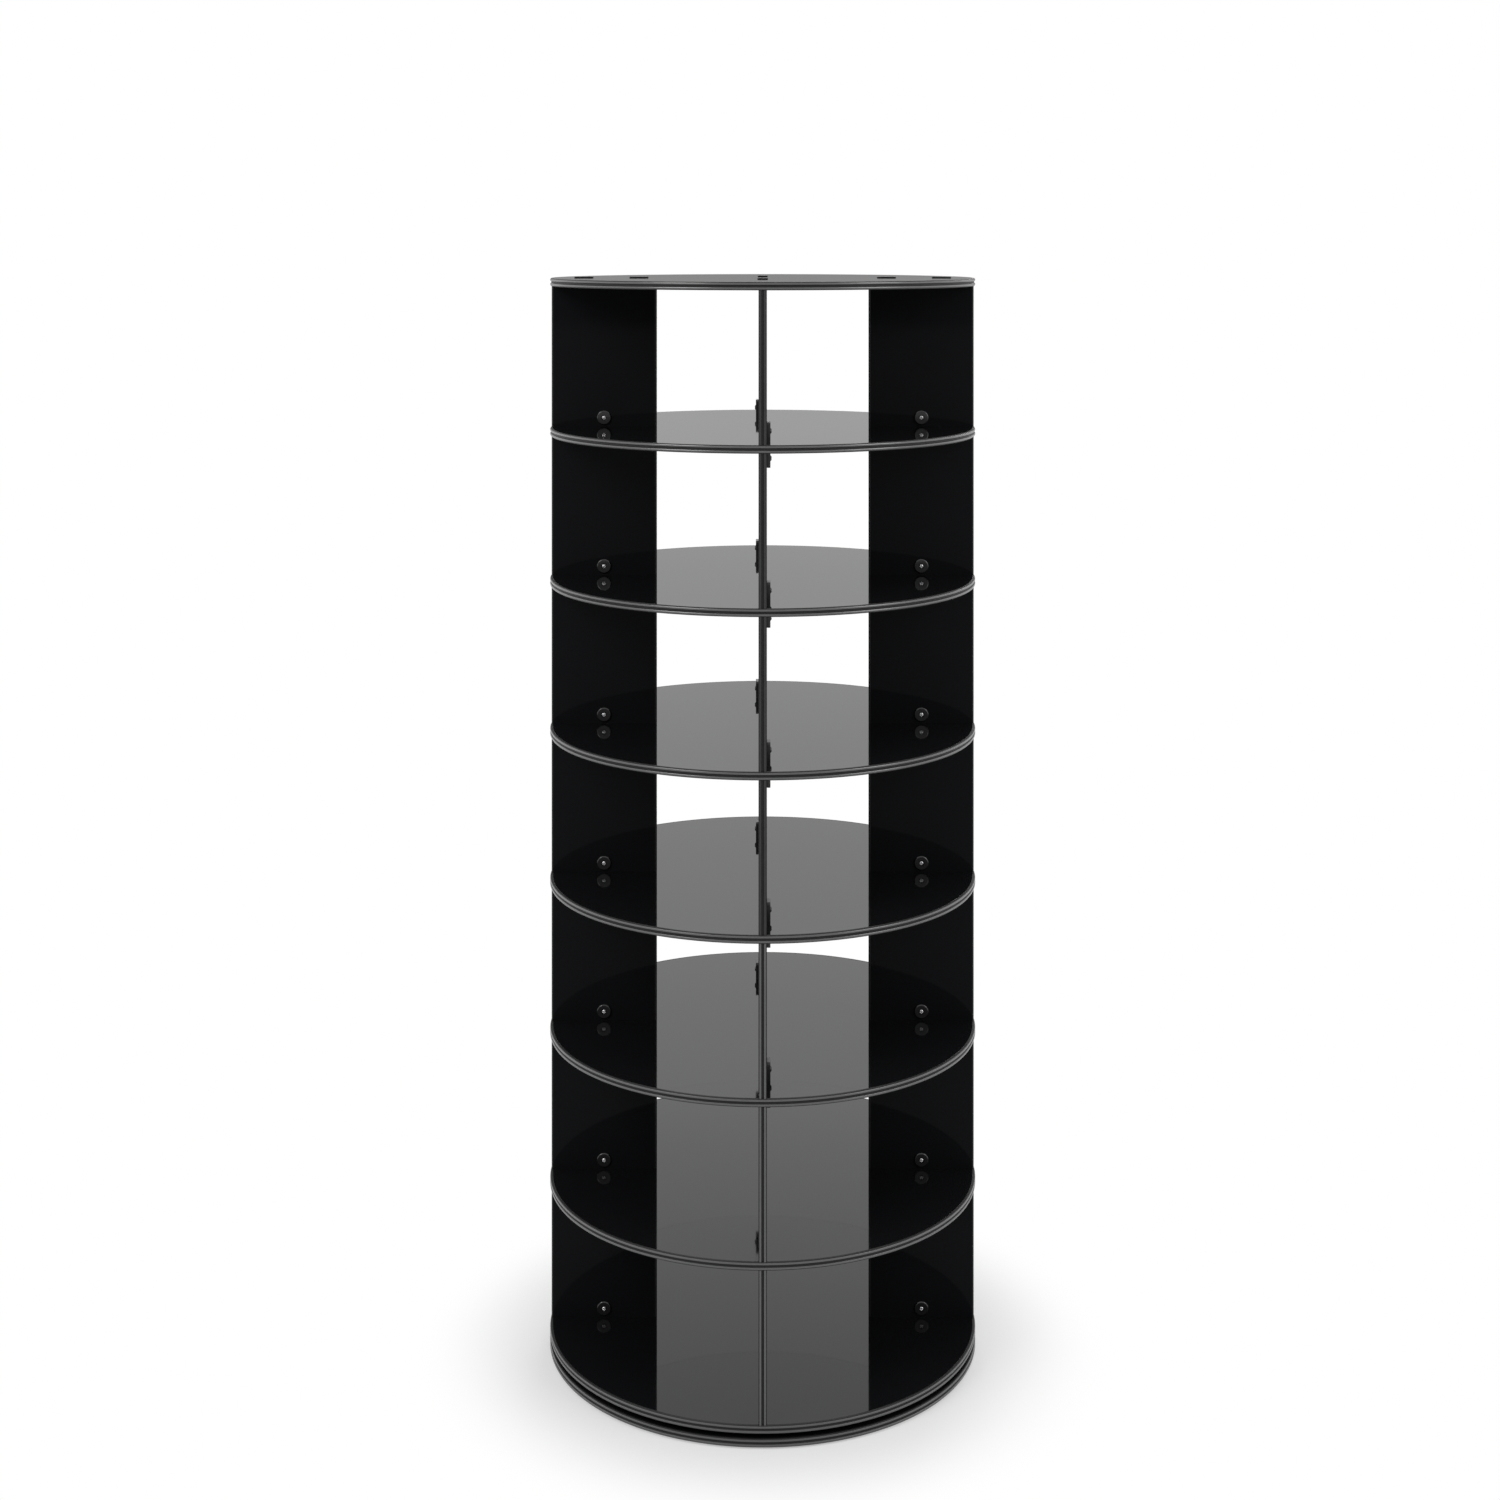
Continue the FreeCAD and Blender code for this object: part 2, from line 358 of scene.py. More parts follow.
def beads(thickness):
    """Outer side of a trim as (depth, across) pairs, from its lower edge to its upper one."""
    middle = thickness / 2
    points = [(BEAD_DEPTH + TRIM_CHAMFER, 0), (BEAD_DEPTH, TRIM_CHAMFER)]
    for side in (-1, 1):
        for step in range(BEAD_STEPS + 1):
            turn = math.pi * (step / BEAD_STEPS - 0.5)
            across = middle + side * BEAD_OFFSET + BEAD_WIDTH / 2 * math.sin(turn)
            points.append((BEAD_DEPTH * (1 - math.cos(turn)), across))
        if side < 0:
            points += [(GROOVE_DEPTH, middle - GROOVE_HALF), (GROOVE_DEPTH, middle + GROOVE_HALF)]
    return points + [(BEAD_DEPTH, thickness - TRIM_CHAMFER), (BEAD_DEPTH + TRIM_CHAMFER, thickness)]


print("points along the trim's outer side:", len(beads(9 * MM)))

# %% A round board
DISC_STEPS = 256
BOARD_EDGE = 0.3 * MM


def round_board(low, high, radius):
    """A flat disc between two heights, with softened rims."""
    bm = bmesh.new()
    middle = Matrix.Translation((0, 0, (low + high) / 2))
    bmesh.ops.create_cone(bm, cap_ends=True, segments=DISC_STEPS, radius1=radius, radius2=radius,
                          depth=high - low, matrix=middle)
    soften(bm, [edge for edge in bm.edges if is_level(edge)], BOARD_EDGE)
    return bm


print("sides of a disc:", DISC_STEPS)

# %% A round trim
SAME_POINT = 0.001 * MM         # points that lie closer are one point


def round_trim(low, high, radius):
    """The trim's outline, spun round the tower's axis; its beads have material 1."""
    bm = bmesh.new()
    outline = [(radius - depth, low + across) for depth, across in beads(high - low)]
    outline = [(radius - TRIM_WIDTH, low), *outline, (radius - TRIM_WIDTH, high)]
    points = [bm.verts.new((r, 0, z)) for r, z in outline]
    edges = [bm.edges.new(pair) for pair in zip(points, points[1:] + points[:1])]
    bmesh.ops.spin(bm, geom=points + edges, cent=(0, 0, 0), axis=(0, 0, 1), angle=math.tau,
                   steps=DISC_STEPS, use_merge=True)
    bmesh.ops.remove_doubles(bm, verts=bm.verts, dist=SAME_POINT)
    for face in bm.faces:
        middle = face.calc_center_median()
        if math.hypot(middle.x, middle.y) > radius - BEAD_REACH:
            face.material_index = 1
    return bm


print("round trim ready")

# %% Boards and trims of all nine discs
SHELVES = ["bottom_shelf", *(f"shelf_{number}" for number in range(1, 7)), "top_panel"]


def rim_radius(node):
    """Radius of a disc's rim, from the box of its solid."""
    low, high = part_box(node)
    return min(high.x, high.y, -low.x, -low.y)


for node in ["base_disc", *SHELVES]:
    body = "base" if node == "base_disc" else "tower"
    low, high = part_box(node)
    rim = rim_radius(node)
    board = round_board(low.z, high.z, rim - TRIM_WIDTH)
    add_piece(node + "_board", board, body, board_finish, [node])
    trim = add_piece(node + "_trim", round_trim(low.z, high.z, rim), body, trim_black)
    # The beads take the grey plastic with painted highlight.
    trim.data.materials.append(painted_highlight_bead)
print("discs:", 1 + len(SHELVES), "rim radius:", round(rim, 4))

# %% [markdown]
# ## Upright boards
#
# The dividers and side panels are flat boards with tenons. They could be built again here, but the
# model's own solids have that shape exactly and the trims cover their free edges, so they only take the
# lacquer. The trims are the same grooved ones as on the rims, here as straight strips: the outline is
# filled and drawn up to the shelf above. From the fourth tier up the divider stands against the bright
# background and its beads look as dull as the body. So there they get a darker, duller copy of the bead
# plastic, whose darker grey is painted shade.

# %% Lacquer on the uprights
TIERS = range(1, 8)
for tier in TIERS:
    for board in ("divider", "left_panel", "right_panel"):
        dress(f"{board}_{tier}", board_finish)
print("upright boards:", 3 * len(TIERS))

# %% A straight trim
STRIP_WIDTH = 2.0 * MM          # how far a strip reaches in from its outermost line


def straight_trim(bm, edge, outward, thickness, low, high):
    """One strip: edge is the middle of its outer side in plan, outward the direction that it faces."""
    across = Vector((-outward.y, outward.x, 0))
    outline = [(STRIP_WIDTH, 0), *beads(thickness), (STRIP_WIDTH, thickness)]
    corners = [edge - outward * depth + across * (side - thickness / 2) for depth, side in outline]
    face = bm.faces.new([bm.verts.new((corner.x, corner.y, low)) for corner in corners])
    drawn = bmesh.ops.extrude_face_region(bm, geom=[face], use_keep_orig=True)
    top = [item for item in drawn["geom"] if isinstance(item, bmesh.types.BMVert)]
    bmesh.ops.translate(bm, verts=top, vec=(0, 0, high - low))
    for side in {side for corner in top for side in corner.link_faces}:
        depth = (edge - side.calc_center_median()).dot(outward)
        # Sides less than a bead's depth in get material 1, the beads' grey plastic with painted highlight.
        if len(side.verts) == 4 and depth < BEAD_REACH:
            side.material_index = 1


print("straight trim ready")

# %% Trims of all uprights
# From this tier up the divider's beads get the copy with painted shade.
PAINTED_SHADE_FROM_TIER = 4
for tier in TIERS:
    node = f"divider_trims_{tier}"
    low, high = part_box(node)
    bm = bmesh.new()
    for y, outward in ((low.y, Vector((0, -1, 0))), (high.y, Vector((0, 1, 0)))):
        straight_trim(bm, Vector((0, y, 0)), outward, high.x - low.x, low.z, high.z)
    trim = add_piece(f"divider_{tier}_trim", bm, "tower", trim_black, [node])
    # Low dividers get the beads with painted highlight, and high ones the darker copy with painted shade.
    trim.data.materials.append(bead_with_painted_shade if tier >= PAINTED_SHADE_FROM_TIER else painted_highlight_bead)
    for hand in ("left", "right"):
        node = f"{hand}_panel_trims_{tier}"
        low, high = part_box(node)
        bm = bmesh.new()
        for x, outward in ((low.x, Vector((-1, 0, 0))), (high.x, Vector((1, 0, 0)))):
            straight_trim(bm, Vector((x, 0, 0)), outward, high.y - low.y, low.z, high.z)
        trim = add_piece(f"{hand}_panel_{tier}_trim", bm, "tower", trim_black, [node])
        # The beads take the grey plastic with painted highlight.
        trim.data.materials.append(painted_highlight_bead)
print("trim strips:", 6 * len(TIERS))

# %% [markdown]
# ## Joint plates
#
# Where two dividers meet at a shelf, a steel plate passes through the shelf and ties the upper one to
# the lower one, one plate on the right face in front and one on the left face behind. Powder coating
# gives it a fine orange peel, which is noise of about a millimetre in its roughness and relief. The
# plate could be an outline with arcs that is drawn out, but a bar whose corners are bevelled is simpler:
# its four corners first, and then the edges all round, so that the small rounding follows the large one.

# %% Coated steel
PEEL_SCALE = 900                # dimples of about 1.1 mm
PEEL_DEPTH = 0.1 * MM


def coated_steel():
    """Black powder coating with its orange peel."""
    material, tree = new_material("coated plate steel")
    peel = noise(tree, PEEL_SCALE, detail=2)
    principled(
        tree,
        Base_Color=tint(tree, peel, grey(0.005), grey(0.009)),
        Roughness=spread(tree, peel, 0.28, 0.4),
        Normal=bump(tree, peel, strength=0.25, depth=PEEL_DEPTH),
        IOR=1.5,
    )
    return material


plate_finish = coated_steel()
print(plate_finish.name)

# %% A bar
PARALLEL = 0.999                # cosine of the angle between an edge and an axis that it runs along


def bar(bm, centre, size):
    """A box of the given size about a centre; returns its edges."""
    place = Matrix.Translation(centre) @ Matrix.Diagonal((*size, 1))
    made = bmesh.ops.create_cube(bm, size=1, matrix=place)
    return {edge for corner in made["verts"] for edge in corner.link_edges}


def along(edge, axis):
    """Whether an edge runs along an axis, given as 0, 1 or 2."""
    way = (edge.verts[1].co - edge.verts[0].co).normalized()
    return abs(way[axis]) > PARALLEL


print("bar ready")

# %% Plates through the shelves
BOARD = 9.0 * MM
PLATE_WIDTH = 19.0 * MM
PLATE_THICKNESS = 4.0 * MM
PLATE_REACH = 20.5 * MM         # above the shelf and below it
PLATE_CORNER = 3.0 * MM
PLATE_EDGE = 0.5 * MM
FRONT_PLATE_DISTANCE = 190.0 * MM
REAR_PLATE_DISTANCE = 150.0 * MM
PLATE_PLACES = [(1, -FRONT_PLATE_DISTANCE), (-1, REAR_PLATE_DISTANCE)]
PLATED = [f"shelf_{number}" for number in range(2, 7)]

bm = bmesh.new()
for node in PLATED:
    low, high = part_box(node)
    for side, y in PLATE_PLACES:
        centre = Vector((side * (BOARD + PLATE_THICKNESS) / 2, y, (low.z + high.z) / 2))
        edges = bar(bm, centre, (PLATE_THICKNESS, PLATE_WIDTH, high.z - low.z + 2 * PLATE_REACH))
        soften(bm, [edge for edge in edges if along(edge, 0)], PLATE_CORNER, segments=5)
outline = [edge for edge in bm.edges if not along(edge, 0) and edge.calc_face_angle(0) > SHARP]
soften(bm, outline, PLATE_EDGE)
add_piece("joint_plates", bm, "tower", plate_finish, ["divider_joint_plates"])
print("joint plates:", len(PLATED) * len(PLATE_PLACES))

# %% [markdown]
# ## Screws
#
# Each plate is held by two pan-head screws. A pan head is a low dome with a cross in it. A Boolean could
# cut the cross, but on a head of six millimetres it costs many faces for little to see. So the dome is
# half a sphere, pressed flat, and the points beside its two middle lines go down. The screws of the
# plates are coated like them, and those of the rosettes further down are bare metal.

# %% A pan head
SMALL_STEPS = 24                # sides of a screw head or a bearing ball
CROSS_REACH = 0.6               # how far out the cross goes, as a share of the head's radius
CROSS_HALF = 0.13               # half the width of its arms, likewise
CROSS_FLOOR = 0.55              # height of its floor, as a share of the dome's height there


def pan_head(bm, centre, facing, radius, height):
    """A domed screw head on a flat face, with a cross pressed into it."""
    made = bmesh.ops.create_uvsphere(bm, u_segments=SMALL_STEPS, v_segments=SMALL_STEPS // 2, radius=radius)
    verts = made["verts"]
    below = [vert for vert in verts if vert.co.z < -SAME_POINT]
    bmesh.ops.delete(bm, geom=below, context="VERTS")
    verts = [vert for vert in verts if vert.is_valid]
    bmesh.ops.contextual_create(bm, geom=[edge for edge in bm.edges if edge.is_boundary])
    for vert in verts:
        off_axis = min(abs(vert.co.x), abs(vert.co.y))
        inside = math.hypot(vert.co.x, vert.co.y) < CROSS_REACH * radius
        if inside and off_axis < CROSS_HALF * radius:
            vert.co.z *= CROSS_FLOOR
    turn = Vector((0, 0, 1)).rotation_difference(facing).to_matrix().to_4x4()
    squash = Matrix.Diagonal((1, 1, height / radius, 1))
    bmesh.ops.transform(bm, matrix=Matrix.Translation(centre) @ turn @ squash, verts=verts)


print("pan head ready")

# %% Screws of the joint plates
PLATE_SCREW_RADIUS = 3.2 * MM
PLATE_SCREW_HEIGHT = 1.5 * MM
PLATE_SCREW_OFFSET = 15.0 * MM  # from the middle of the shelf
bm = bmesh.new()
for node in PLATED:
    low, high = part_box(node)
    for side, y in PLATE_PLACES:
        for way in (-1, 1):
            x = side * (BOARD / 2 + PLATE_THICKNESS)
            z = (low.z + high.z) / 2 + way * PLATE_SCREW_OFFSET
            pan_head(bm, Vector((x, y, z)), Vector((side, 0, 0)), PLATE_SCREW_RADIUS, PLATE_SCREW_HEIGHT)
add_piece("plate_screws", bm, "tower", plate_finish)
print("plate screws:", 2 * len(PLATED) * len(PLATE_PLACES))

# %% [markdown]
# ## Bare metal
#
# The screws of the rosettes, the bearing's rings and its balls are bright steel. An even metallic grey
# would mirror the room like glass. Real steel keeps faint marks of grinding, so the noise is drawn out
# along one axis, and it changes tone and roughness. A relief would add nothing to marks this fine.

# %% Steel with faint marks
BRUSH_SCALE = 700               # marks of about 1.4 mm
BRUSH_STRETCH = (1, 1, 0.1)     # ten times as long upwards
METAL_VARIES = 0.04             # in roughness, to both sides


def bare_metal(name, dark, light, rough):
    """Metal with faint marks between two tones."""
    material, tree = new_material(name)
    brushed = noise(tree, BRUSH_SCALE, detail=3, stretch=BRUSH_STRETCH)
    principled(
        tree,
        Base_Color=tint(tree, brushed, dark, light),
        Roughness=spread(tree, brushed, rough - METAL_VARIES, rough + METAL_VARIES),
        Metallic=1.0,
    )
    return material


screw_finish = bare_metal("screw steel", (0.36, 0.36, 0.37, 1), (0.5, 0.5, 0.51, 1), rough=0.26)
print(screw_finish.name)

# %% [markdown]
# ## Screw rosettes on the side panels
#
# Low on the front of each side panel sits a round black rosette with a bright screw in its middle. The
# rosette is a button with a rounded edge and a shallow seat for the screw. It could be cylinders with
# bevels, but one outline, spun round, has the seat, the face and the rounding at once.

# %% A rosette
ROSETTE_RADIUS = 8.6 * MM
ROSETTE_THICKNESS = 1.8 * MM
ROSETTE_ROUND = 1.5 * MM
ROSETTE_STEPS = 32
EDGE_STEPS = 6
SEAT_RADIUS = 3.2 * MM
SEAT_SLOPE = 0.3 * MM
SEAT_HEIGHT = 1.0 * MM          # from the panel to the floor of the screw's seat


def rosette(bm, centre):
    """A round button with a rounded edge and a seat for its screw, facing the front."""
    start = len(bm.verts)
    outline = [(0, SEAT_HEIGHT), (SEAT_RADIUS, SEAT_HEIGHT), (SEAT_RADIUS + SEAT_SLOPE, ROSETTE_THICKNESS)]
    for step in range(EDGE_STEPS + 1):
        turn = math.pi / 2 * step / EDGE_STEPS
        outline.append((ROSETTE_RADIUS - ROSETTE_ROUND * (1 - math.sin(turn)),
                        ROSETTE_THICKNESS - ROSETTE_ROUND * (1 - math.cos(turn))))
    outline += [(ROSETTE_RADIUS, 0), (0, 0)]
    points = [bm.verts.new((r, 0, h)) for r, h in outline]
    edges = [bm.edges.new(pair) for pair in zip(points, points[1:])]
    bmesh.ops.spin(bm, geom=points + edges, cent=(0, 0, 0), axis=(0, 0, 1), angle=math.tau,
                   steps=ROSETTE_STEPS, use_merge=True)
    bm.verts.ensure_lookup_table()
    to_front = Matrix.Rotation(math.radians(90), 4, "X")
    bmesh.ops.transform(bm, matrix=Matrix.Translation(centre) @ to_front, verts=bm.verts[start:])


rosette_finish = moulded_plastic("gloss black plastic", grey(0.004), grey(0.006), rough=0.14, grain=0.02)
print(rosette_finish.name)

# %% Rosettes and their screws
ROSETTE_X = 187.0 * MM
ROSETTE_HEIGHT = 10.0 * MM      # middle of a rosette above its shelf
ROSETTE_SCREW_RADIUS = 2.5 * MM
ROSETTE_SCREW_HEIGHT = 1.3 * MM
TO_THE_FRONT = Vector((0, -1, 0))
rings = bmesh.new()
screws = bmesh.new()
for tier in TIERS:
    panel_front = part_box(f"left_panel_{tier}")[0].y
    shelf_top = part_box(SHELVES[tier - 1])[1].z
    for side in (-1, 1):
        centre = Vector((side * ROSETTE_X, panel_front, shelf_top + ROSETTE_HEIGHT))
        rosette(rings, centre)
        seat = centre + TO_THE_FRONT * SEAT_HEIGHT
        pan_head(screws, seat, TO_THE_FRONT, ROSETTE_SCREW_RADIUS, ROSETTE_SCREW_HEIGHT)
bmesh.ops.remove_doubles(rings, verts=rings.verts, dist=SAME_POINT)
add_piece("screw_rosettes", rings, "tower", rosette_finish)
add_piece("rosette_screws", screws, "tower", screw_finish)
print("rosettes:", 2 * len(TIERS))

# %% [markdown]
# ## Caps on the top panel
#
# The tenons of the top tier would show as open slots, so each mortise has a thin plastic cap. It is the
# same bar as the joint plates, lying down: the upright corners are rounded first and then the upper edge.
# The lower edge stays sharp, because it sits on the panel.

# %% Low caps with rounded corners
CAP_LENGTH = 22.0 * MM
CAP_WIDTH = 12.0 * MM
CAP_CORNER = 1.5 * MM
CAP_EDGE = 0.5 * MM
PANEL_TENONS = (146.0 * MM, 211.0 * MM)
DIVIDER_TENON = 80.0 * MM
panel_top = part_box("top_panel")[1].z
cap_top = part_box("top_panel_caps")[1].z
cap_places = [(side * x, 0, CAP_LENGTH, CAP_WIDTH) for side in (-1, 1) for x in PANEL_TENONS]
cap_places += [(0, side * DIVIDER_TENON, CAP_WIDTH, CAP_LENGTH) for side in (-1, 1)]
cap_finish = moulded_plastic("black moulded plastic", grey(0.006), grey(0.011), rough=0.5, gloss=0.1)

bm = bmesh.new()
for x, y, size_x, size_y in cap_places:
    edges = bar(bm, Vector((x, y, (panel_top + cap_top) / 2)), (size_x, size_y, cap_top - panel_top))
    soften(bm, [edge for edge in edges if along(edge, 2)], CAP_CORNER, segments=4)
upper = [edge for edge in bm.edges if is_level(edge) and edge.verts[0].co.z > cap_top - LEVEL]
soften(bm, upper, CAP_EDGE, segments=3)
add_piece("mortise_caps", bm, "tower", cap_finish, ["top_panel_caps"])
print("caps:", len(cap_places))

# %% [markdown]
# ## The turntable
#
# Twelve steel balls in a nylon cage run between two grooved rings of zinc-plated steel. The rings and the
# cage lie deep in the gap over the base disc and keep their own solids. The balls of the model are cut in
# flats, so they are true spheres here. Many instances of one ball would be lighter, but twelve small
# spheres in one mesh weigh little and are one piece. The pads are short rubber discs with a rounded
# lower edge, because rubber that stands on a floor has no sharp rim.

# %% Bearing
BALL_CIRCLE = 120.0 * MM
BALL_RADIUS = 2.0 * MM
BALL_COUNT = 12
race_finish = bare_metal("zinc-plated steel", (0.5, 0.5, 0.52, 1), (0.64, 0.64, 0.66, 1), rough=0.28)
ball_finish = bare_metal("polished steel", (0.7, 0.7, 0.71, 1), (0.78, 0.78, 0.79, 1), rough=0.08)
cage_finish = moulded_plastic("cage nylon", grey(0.05), grey(0.08), rough=0.45)
dress("bearing_outer_race", race_finish)
dress("bearing_inner_race", race_finish)
dress("bearing_ball_cage", cage_finish)

low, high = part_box("bearing_balls")
bm = bmesh.new()
for number in range(BALL_COUNT):
    angle = math.tau * number / BALL_COUNT
    centre = (BALL_CIRCLE * math.cos(angle), BALL_CIRCLE * math.sin(angle), (low.z + high.z) / 2)
    bmesh.ops.create_uvsphere(bm, u_segments=SMALL_STEPS, v_segments=SMALL_STEPS // 2, radius=BALL_RADIUS,
                              matrix=Matrix.Translation(centre))
add_piece("polished_balls", bm, "ball_cage", ball_finish, ["bearing_balls"])
print("balls:", BALL_COUNT)

# %% Rubber pads
PAD_RADIUS = 12.0 * MM
PAD_STEPS = 48
PAD_ROUND = 0.4 * MM
pad_finish = moulded_plastic("pad rubber", grey(0.012), grey(0.022), rough=0.75)
low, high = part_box("base_pads")
pad_reach = high.x - PAD_RADIUS
bm = bmesh.new()
for x in (-pad_reach, pad_reach):
    for y in (-pad_reach, pad_reach):
        place = Matrix.Translation((x, y, (low.z + high.z) / 2))
        bmesh.ops.create_cone(bm, cap_ends=True, segments=PAD_STEPS, radius1=PAD_RADIUS, radius2=PAD_RADIUS,
                              depth=high.z - low.z, matrix=place)
lower = [edge for edge in bm.edges if is_level(edge) and edge.verts[0].co.z < low.z + LEVEL]
soften(bm, lower, PAD_ROUND)
add_piece("rubber_pads", bm, "base", pad_finish, ["base_pads"])
print("pads: 4, each", round(2 * PAD_RADIUS / MM), "mm wide")

# %% [markdown]
# ## Floor and background
#
# A glossy black thing shows its surroundings more than itself, so the room is set up for its reflections.
# The background is plain white to the eye. The floor is a pale sheet: close to the foot it takes light
# and shade as paper does, which keeps the tower's soft shadow, and further out it goes over into plain
# white. A brighter lamp could whiten it as well, but that would light the tower too. A Mix Shader does it
# instead, with the distance from the axis as its factor, and Light Path limits it to what is seen or
# mirrored, so that the white part throws no light of its own at the tower.

# %% Sums in nodes, and a test for rays


def calc(tree, operation, *values):
    """A Math node; each value is a number or another node's output."""
    node = tree.nodes.new("ShaderNodeMath")
    node.operation = operation
    for value, socket in zip(values, node.inputs):
        feed(tree, value, socket)
    return node.outputs["Value"]


def ray_is(tree, *kinds):
    """1 for the given kinds of ray and 0 for others."""
    path = tree.nodes.new("ShaderNodeLightPath")
    found = path.outputs[kinds[0]]
    for kind in kinds[1:]:
        found = calc(tree, "MAXIMUM", found, path.outputs[kind])
    return found


print("ray test ready")

# %% The floor sheet
FLOOR_HALF = 30.0
FLOOR_DROP = 0.5 * MM           # below the pads, so that the two never share a plane
bm = bmesh.new()
bmesh.ops.create_grid(bm, x_segments=1, y_segments=1, size=FLOOR_HALF)
mesh = bpy.data.meshes.new("floor")
bm.to_mesh(mesh)
bm.free()
floor = bpy.data.objects.new("floor", mesh)
floor.location = (0, 0, cad_box[0][2] - FLOOR_DROP)
scene.collection.objects.link(floor)
print("floor half width:", FLOOR_HALF, "m")

# %% The floor's finish
SHADOW_FROM = 0.22              # from the axis; up to here the floor keeps most of its shade
SHADOW_TO = 0.42                # and from here it is plain white
WHITE_AT_FOOT = 0.4             # share of plain white at the foot
floor_finish, tree = new_material("pale floor")
paper = tree.nodes.new("ShaderNodeBsdfDiffuse")
paper.inputs["Color"].default_value = grey(0.8)
white = tree.nodes.new("ShaderNodeEmission")
place = tree.nodes.new("ShaderNodeTexCoord")
distance = tree.nodes.new("ShaderNodeVectorMath")
distance.operation = "LENGTH"
tree.links.new(place.outputs["Object"], distance.inputs[0])
share = spread(tree, distance.outputs["Value"], WHITE_AT_FOOT, 1.0, SHADOW_FROM, SHADOW_TO, "SMOOTHERSTEP")
viewed = ray_is(tree, "Is Camera Ray", "Is Glossy Ray", "Is Transmission Ray")
mix = tree.nodes.new("ShaderNodeMixShader")
tree.links.new(calc(tree, "MULTIPLY", viewed, share), mix.inputs["Fac"])
tree.links.new(paper.outputs["BSDF"], mix.inputs[1])
tree.links.new(white.outputs["Emission"], mix.inputs[2])
output = tree.nodes.new("ShaderNodeOutputMaterial")
tree.links.new(mix.outputs["Shader"], output.inputs["Surface"])
floor.data.materials.append(floor_finish)
print("white from", SHADOW_TO, "m out")

# %% [markdown]
# ## The mirrored room
#
# In reflections the background isn't evenly white. It rises from grey at the horizon to white higher up,
# like a studio wall that is lit from above. Walls of mesh could do that, but a colour ramp in the world
# has no edges to be caught in a mirror. MIRRORED gives its level by the sine of the height angle. A shelf
# at eye height mirrors strongly but low, and a shelf further down mirrors less but higher, so the shelves
# darken only slowly from tier to tier. Low down at both sides stands some more light, as from two strip
# lights. It puts the two fine bright lines on the rims, whose beads mirror what is beside the tower. The
# squared sideways part of the direction makes it fade out towards the front and the back.

# %% The wall that reflections see
MIRRORED = [(0.0, 0.2), (0.03, 0.32), (0.08, 0.56), (0.15, 0.68), (0.2, 0.8), (0.25, 0.9), (0.35, 1.2)]
world = bpy.data.worlds.new("studio")
scene.world = world
world.use_nodes = True
tree = world.node_tree
tree.nodes.clear()
direction = tree.nodes.new("ShaderNodeTexCoord")
parts = tree.nodes.new("ShaderNodeSeparateXYZ")
tree.links.new(direction.outputs["Generated"], parts.inputs["Vector"])
sideways = parts.outputs["X"]
height = parts.outputs["Z"]

wall = tree.nodes.new("ShaderNodeValToRGB")
stops = wall.color_ramp.elements
stops[0].color = grey(MIRRORED[0][1])
stops[1].color = grey(MIRRORED[-1][1])
for at_height, level in MIRRORED[1:]:
    stops.new(at_height).color = grey(level)
tree.links.new(height, wall.inputs["Fac"])
print("levels of the wall:", len(stops))

# %% Light at both sides
SIDE_LIGHT = 1.6
SIDE_LIGHT_FULL = 0.08          # the sine of the height angle up to which it is full
SIDE_LIGHT_GONE = 0.3           # and from which there is none
low_down = spread(tree, height, SIDE_LIGHT, 0.0, SIDE_LIGHT_FULL, SIDE_LIGHT_GONE, "SMOOTHSTEP")
both_sides = calc(tree, "MULTIPLY", sideways, sideways)
mirrored = calc(tree, "MULTIPLY_ADD", both_sides, low_down, wall.outputs["Color"])
print("side light:", SIDE_LIGHT)

# %% One world for the eye, for mirrors and for soft light
SOFT_LIGHT = 0.62               # what the room sends onto diffuse surfaces


def either(tree, test, off, on):
    """One value where the test is 0, and another where it is 1."""
    node = tree.nodes.new("ShaderNodeMix")
    feed(tree, test, node.inputs["Factor"])
    feed(tree, off, node.inputs["A"])
    feed(tree, on, node.inputs["B"])
    return node.outputs["Result"]


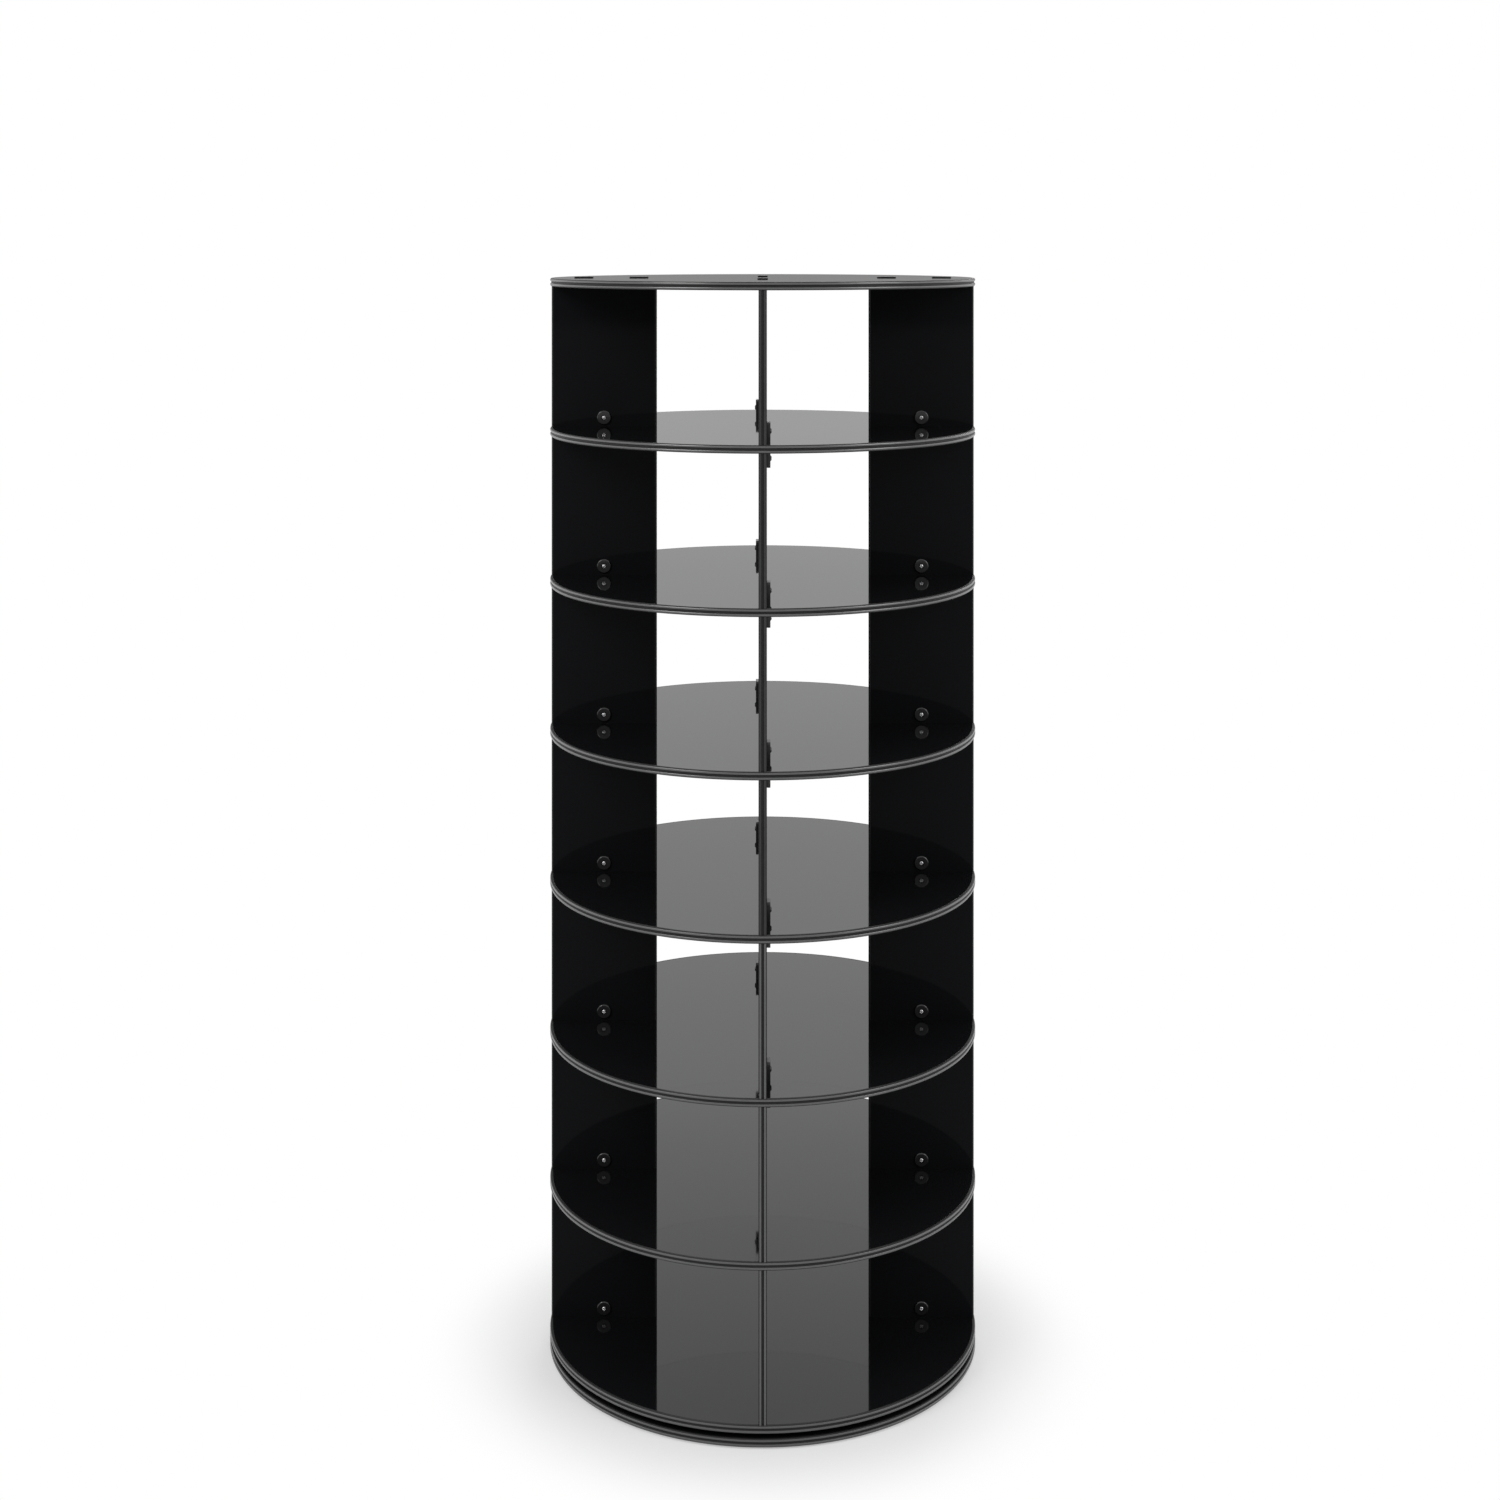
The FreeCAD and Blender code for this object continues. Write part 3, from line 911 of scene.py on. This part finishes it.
unseen = either(tree, ray_is(tree, "Is Glossy Ray"), SOFT_LIGHT, mirrored)
background = tree.nodes.new("ShaderNodeBackground")
background.inputs["Color"].default_value = grey(1)
strength = either(tree, ray_is(tree, "Is Camera Ray", "Is Transmission Ray"), unseen, 1.0)
tree.links.new(strength, background.inputs["Strength"])
output = tree.nodes.new("ShaderNodeOutputWorld")
tree.links.new(background.outputs["Background"], output.inputs["Surface"])
print("soft light:", SOFT_LIGHT)

# %% [markdown]
# ## Lamps
#
# Three large square lamps stand round the tower as in a plain studio: a key in front on the left, a
# weaker fill in front on the right, and one behind that draws the rims. Sun or point lamps would leave
# hard dots on the lacquer and a hard shadow on the floor, and these leave soft ones.

# %% Three soft boxes
LAMP_SIZE = 1.8
LAMP_AIM = Vector((0, 0, 0.6))  # the middle of the tower
LAMPS = [("key", (-2.6, -2.4, 3.2), 60), ("fill", (2.8, -1.6, 2.4), 35), ("back", (0.6, 3.0, 3.0), 40)]
for name, place, watts in LAMPS:
    lamp = bpy.data.lights.new(name, "AREA")
    lamp.shape = "SQUARE"
    lamp.size = LAMP_SIZE
    lamp.energy = watts
    box = bpy.data.objects.new(name, lamp)
    box.location = place
    box.rotation_euler = (LAMP_AIM - box.location).to_track_quat("-Z", "Y").to_euler()
    scene.collection.objects.link(box)
print("lamps:", len(LAMPS))

# %% [markdown]
# ## Light cards under the shelves
#
# A gloss shelf mirrors the underside of the shelf above it, which is black too, so its front would go
# dark. A studio slides a white card in there. A card of mesh would be seen from below and would whiten
# the boards beside it, so these are round area lamps that only reflections see: they face down, just
# under each shelf. An area lamp looks as bright as white when its energy is pi times its area.

# %% Cards
CARD_LEVEL = 1.07               # how bright a card looks, where 1 is white
CARD_INSET = 1.9 * MM           # from the rim, so that no reflection passes between card and wall
CARD_GAP = 0.3 * MM
for node in SHELVES[1:]:
    shelf_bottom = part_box(node)[0].z
    card = bpy.data.lights.new("card_" + node, "AREA")
    card.shape = "DISK"
    card.size = 2 * (rim_radius(node) - CARD_INSET)
    card.energy = CARD_LEVEL * math.pi * math.pi * (card.size / 2) ** 2
    holder = bpy.data.objects.new("card_" + node, card)
    holder.location = (0, 0, shelf_bottom - CARD_GAP)
    holder.visible_camera = False
    holder.visible_diffuse = False
    scene.collection.objects.link(holder)
print("cards:", len(SHELVES) - 1)
